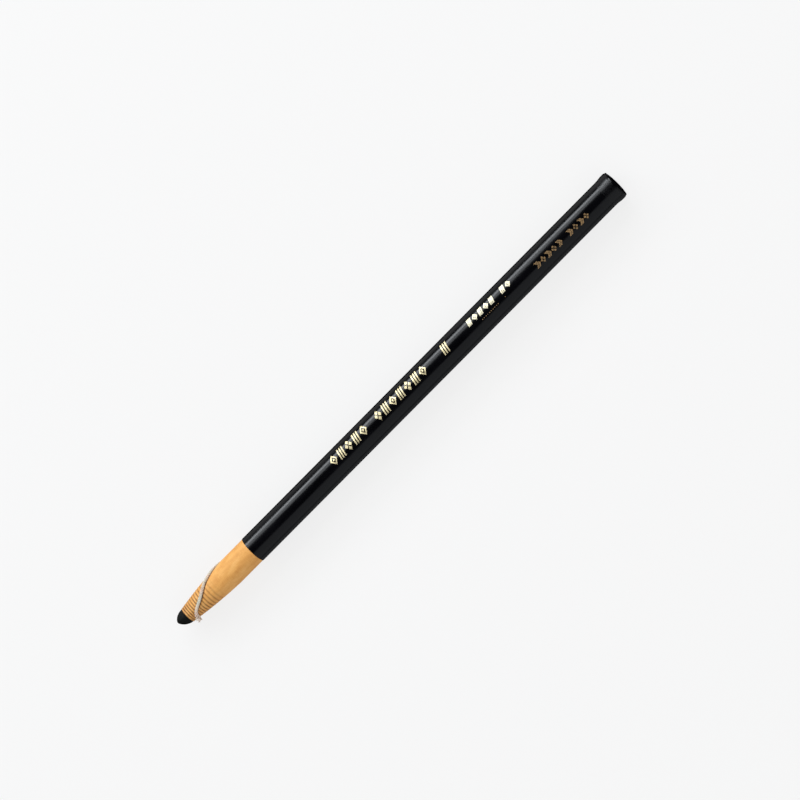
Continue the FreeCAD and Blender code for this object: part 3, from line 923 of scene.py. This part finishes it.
def add_mark(shape, outline, at, turn, foil):
    """One flat outline, cut into narrow strips so that it bends, as a thin closed solid."""
    flat = bmesh.new()
    flat.faces.new([flat.verts.new((u, v, 0)) for u, v in outline])
    low = min(v for _, v in outline)
    high = max(v for _, v in outline)
    cuts = max(1, int((high - low) / STRIP))
    for k in range(1, cuts):
        geometry = flat.verts[:] + flat.edges[:] + flat.faces[:]
        level = low + (high - low) * k / cuts
        bmesh.ops.bisect_plane(flat, geom=geometry, plane_co=(0, level, 0), plane_no=(0, 1, 0))
    flat.normal_update()
    if flat.faces[:][0].normal.z < 0:
        bmesh.ops.reverse_faces(flat, faces=flat.faces[:])

    def layer(lift):
        return {
            v: shape.verts.new(laid_on_barrel(at + v.co.x, v.co.y, turn, lift))
            for v in flat.verts
        }

    base, top = layer(-FOIL_SINK), layer(FOIL_RISE)
    for face in flat.faces:
        upper = shape.faces.new([top[v] for v in reversed(face.verts)])
        lower = shape.faces.new([base[v] for v in face.verts])
        upper.material_index = lower.material_index = foil
    for edge in flat.edges:
        if edge.is_boundary:
            loop = edge.link_loops[0]
            a, b = loop.vert, loop.link_loop_next.vert
            side = shape.faces.new([top[a], top[b], base[b], base[a]])
            side.material_index = foil
    flat.free()


def make_foil():
    foils = [
        foil_material("foil_pale_gold", (0.93, 0.80, 0.48), 0.62),
        foil_material("foil_bright_gold", (0.90, 0.83, 0.60), 0.60),
        foil_material("foil_dim_gold", (0.56, 0.36, 0.17), 0.52),
    ]
    for number in range(2, RIBBONS + 1):
        start, end = ends(f"cover_ribbon_{number}")
        node = f"foil_ribbon_{number}"
        foil_piece(node + "_stamp", node, f"ribbon_{number}", start, end, foils)
    start = ends("cover_stub")[0]
    foil_piece("foil_stub_stamp", "foil_stub", "root", start, DIP_START, foils)


# ---------------------------------------------------------------- string

STRANDS = 3
STRAND_R = 0.25
TWIST = 2.3  # mm of string for one turn of its strands
FRAY = 3.6  # mm over which the free end's strands part
FRAY_SPREAD = 2.0  # how much farther apart they are at the end, as a share


def frames_along(line):
    """At each point: the way on, outwards from the pencil's axis, and sideways."""
    found = []
    for k, point in enumerate(line):
        ahead = (line[min(k + 1, len(line) - 1)] - line[max(k - 1, 0)]).normalized()
        out = Vector((0, point.y, point.z - AXIS_Z)).normalized()
        out = (out - ahead * out.dot(ahead)).normalized()
        found.append((ahead, out, ahead.cross(out)))
    return found


def tube(points, faces, centres, frames, radii, sides):
    """Adds a closed round tube through centres to points and faces."""
    first = len(points)
    for centre, (_, out, side), radius in zip(centres, frames, radii):
        for k in range(sides):
            turn = 2 * math.pi * k / sides
            points.append(centre + (out * math.cos(turn) + side * math.sin(turn)) * radius * MM)
    rows = len(centres)
    for row in range(rows - 1):
        for k in range(sides):
            a, b = first + row * sides + k, first + row * sides + (k + 1) % sides
            faces.append((a, a + sides, b + sides, b))
    faces.append(tuple(first + k for k in range(sides)))
    faces.append(tuple(first + (rows - 1) * sides + sides - 1 - k for k in range(sides)))


def spun_string(line, flatten, fray, seed):
    """Points and faces of twisted strands along a line, which spread over the last fray mm."""
    chance = random.Random(seed)
    points, faces = [], []
    frames = frames_along(line)
    step = (line[1] - line[0]).length / MM
    total = step * (len(line) - 1)
    for strand in range(STRANDS):
        phase = 2 * math.pi * strand / STRANDS
        centres, radii = [], []
        for k, (point, (_, out, side)) in enumerate(zip(line, frames)):
            along = k * step
            left = total - along
            spread = 1 + (FRAY_SPREAD * max(0.0, 1 - left / fray) ** 1.2 if fray else 0.0)
            turn = phase + 2 * math.pi * along / TWIST
            wobble = 1 + 0.12 * noise.noise(Vector((along * 1.3, strand * 7.0, seed)))
            offset = STRAND_R * 0.92 * spread * wobble
            shift = out * (math.cos(turn) * flatten) + side * math.sin(turn)
            centres.append(point + shift * (offset * MM))
            thin = 1.0 if not fray else min(1.0, 0.45 + 0.55 * left / 0.5)
            lumps = 1 + 0.10 * noise.noise(Vector((along * 2.1, 3.0, strand + seed)))
            radii.append(STRAND_R * thin * lumps)
        tube(points, faces, centres, frames, radii, 9)
    add_fibres(points, faces, line, frames, chance, fray, step)
    return points, faces


def add_fibres(points, faces, line, frames, chance, fray, step):
    """Loose fibres: short ones along the string, and a tuft where it frays."""
    count = int(len(line) * step * 1.6) if fray else 0
    tuft = 34 if fray else 0
    last = len(line) - 1
    for number in range(count + tuft):
        in_tuft = number >= count
        where = (int(last * 0.86), last - 1) if in_tuft else (2, int(last * 0.9))
        start = chance.randint(*where)
        ahead, out, side = frames[start]
        turn = chance.uniform(-math.pi, math.pi) if in_tuft else chance.uniform(-0.6, 0.6) * math.pi
        away = out * math.cos(turn) + side * math.sin(turn)
        reach = chance.uniform(0.35, 0.9) if in_tuft else chance.uniform(0.25, 0.6)
        lean = chance.uniform(1.0, 2.6) if in_tuft else chance.uniform(0.5, 1.3)
        bend = side * chance.uniform(-0.5, 0.5) + out * chance.uniform(-0.2, 0.3)
        centres = []
        for k in range(7):
            share = k / 6
            path = (away + ahead * lean).normalized() * reach * share + bend * share * share * 0.5
            centres.append(line[start] + (away * STRAND_R * 0.9 + path) * MM)
        thickness = chance.uniform(0.030, 0.075) if in_tuft else chance.uniform(0.010, 0.018)
        radii = [thickness * (1 - 0.6 * k / 6) for k in range(7)]
        tube(points, faces, centres, [(ahead, out, side)] * 7, radii, 5)


def make_strings(line):
    material = string_material()
    points, faces = spun_string(line, 0.85, FRAY, 3)
    points = [Vector((p.x, min(p.y, EDGE_Y), min(p.z, EDGE_Z))) for p in points]
    tail = to_object("string_free_end", points, faces, [material], None)
    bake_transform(tail)
    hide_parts("pull_string_tail")

    start, end = ends("pull_string_run")
    angle = math.radians(STRING_ANGLE)
    route = [place(start, STRING_DEPTH, angle), place(end, STRING_DEPTH, angle)]
    points, faces = spun_string(evenly(route, 0.16 * MM), 0.9, 0, 5)
    run = to_object("string_inside", points, faces, [material], "root")
    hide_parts("pull_string_run")


# ---------------------------------------------------------------- floor and light


def make_floor():
    n = Nodes("floor")
    n.shader.inputs["Base Color"].default_value = (0.12, 0.12, 0.12, 1)
    n.shader.inputs["Emission Color"].default_value = (1, 1, 1, 1)
    n.shader.inputs["Emission Strength"].default_value = 0.79
    n.shader.inputs["Roughness"].default_value = 1.0
    n.shader.inputs["Specular IOR Level"].default_value = 0.0
    mesh = bpy.data.meshes.new("floor")
    half = 6.0
    corners = [(-half, -half, 0), (half, -half, 0), (half, half, 0), (-half, half, 0)]
    mesh.from_pydata(corners, [], [(0, 1, 2, 3)])
    mesh.materials.append(n.material)
    floor = bpy.data.objects.new("floor", mesh)
    bpy.context.scene.collection.objects.link(floor)
    floor.visible_glossy = False


LAMP_AWAY = 1.2  # m from each panel to the pencil
PANEL_LENGTH = 2.6
COOL = (0.91, 0.955, 1.0)
WARM = (1.0, 0.985, 0.965)


def softbox(name, off_axis, across, radiance, colour=COOL, along=PANEL_LENGTH):
    """A panel beside the pencil, off_axis degrees from overhead towards +Y."""
    data = bpy.data.lights.new(name, "AREA")
    data.shape = "RECTANGLE"
    data.size, data.size_y = along, across
    data.color = colour
    # An area light's power for a radiance: Cycles spreads it over pi times the area.
    data.energy = radiance * math.pi * along * across
    lamp = bpy.data.objects.new(name, data)
    turn = math.radians(off_axis)
    out = Vector((0, math.sin(turn), math.cos(turn)))
    lamp.location = out * LAMP_AWAY
    lamp.rotation_mode = "QUATERNION"
    lamp.rotation_quaternion = out.to_track_quat("Z", "Y")
    bpy.context.scene.collection.objects.link(lamp)


def overhead(strength, spread, lean):
    """Light from all round overhead, with hardly any shadow, a little more of it from -Y."""
    data = bpy.data.lights.new("overhead", "SUN")
    data.energy = strength
    data.color = WARM
    data.angle = math.radians(spread)
    lamp = bpy.data.objects.new("overhead", data)
    lamp.location = (0, 0, 1)
    lamp.rotation_euler.x = math.radians(lean)
    lamp.visible_glossy = False
    bpy.context.scene.collection.objects.link(lamp)


def make_light():
    world = bpy.data.worlds.new("studio")
    bpy.context.scene.world = world
    world.use_nodes = True
    background = world.node_tree.nodes["Background"]
    background.inputs["Color"].default_value = (0.905, 0.92, 0.92, 1)
    background.inputs["Strength"].default_value = 1.0
    # A pale backdrop only: the lamps alone light the pencil.
    world.cycles_visibility.diffuse = False
    world.cycles_visibility.glossy = False
    overhead(1.94, 150, 9)
    softbox("key", 65, 0.31, 7.2)
    softbox("shoulder", 47, 0.40, 2.3)
    softbox("side", -60, 1.75, 0.38, along=3.0)
    # The last two stand in for the floor's own reflection in the pencil's flanks.
    softbox("left_flank", 112, 0.9, 0.36, colour=(1, 1, 1))
    softbox("right_flank", -122, 0.9, 0.20)


bpy.context.scene.view_settings.view_transform = "Standard"

make_camera()
string_line = evenly(smooth_line(free_end_route()), 0.09 * MM)
make_charcoal()
make_front_ribbon(string_line)
dress_rolls()
make_covers()
make_dip()
make_foil()
make_strings(string_line)
make_floor()
make_light()
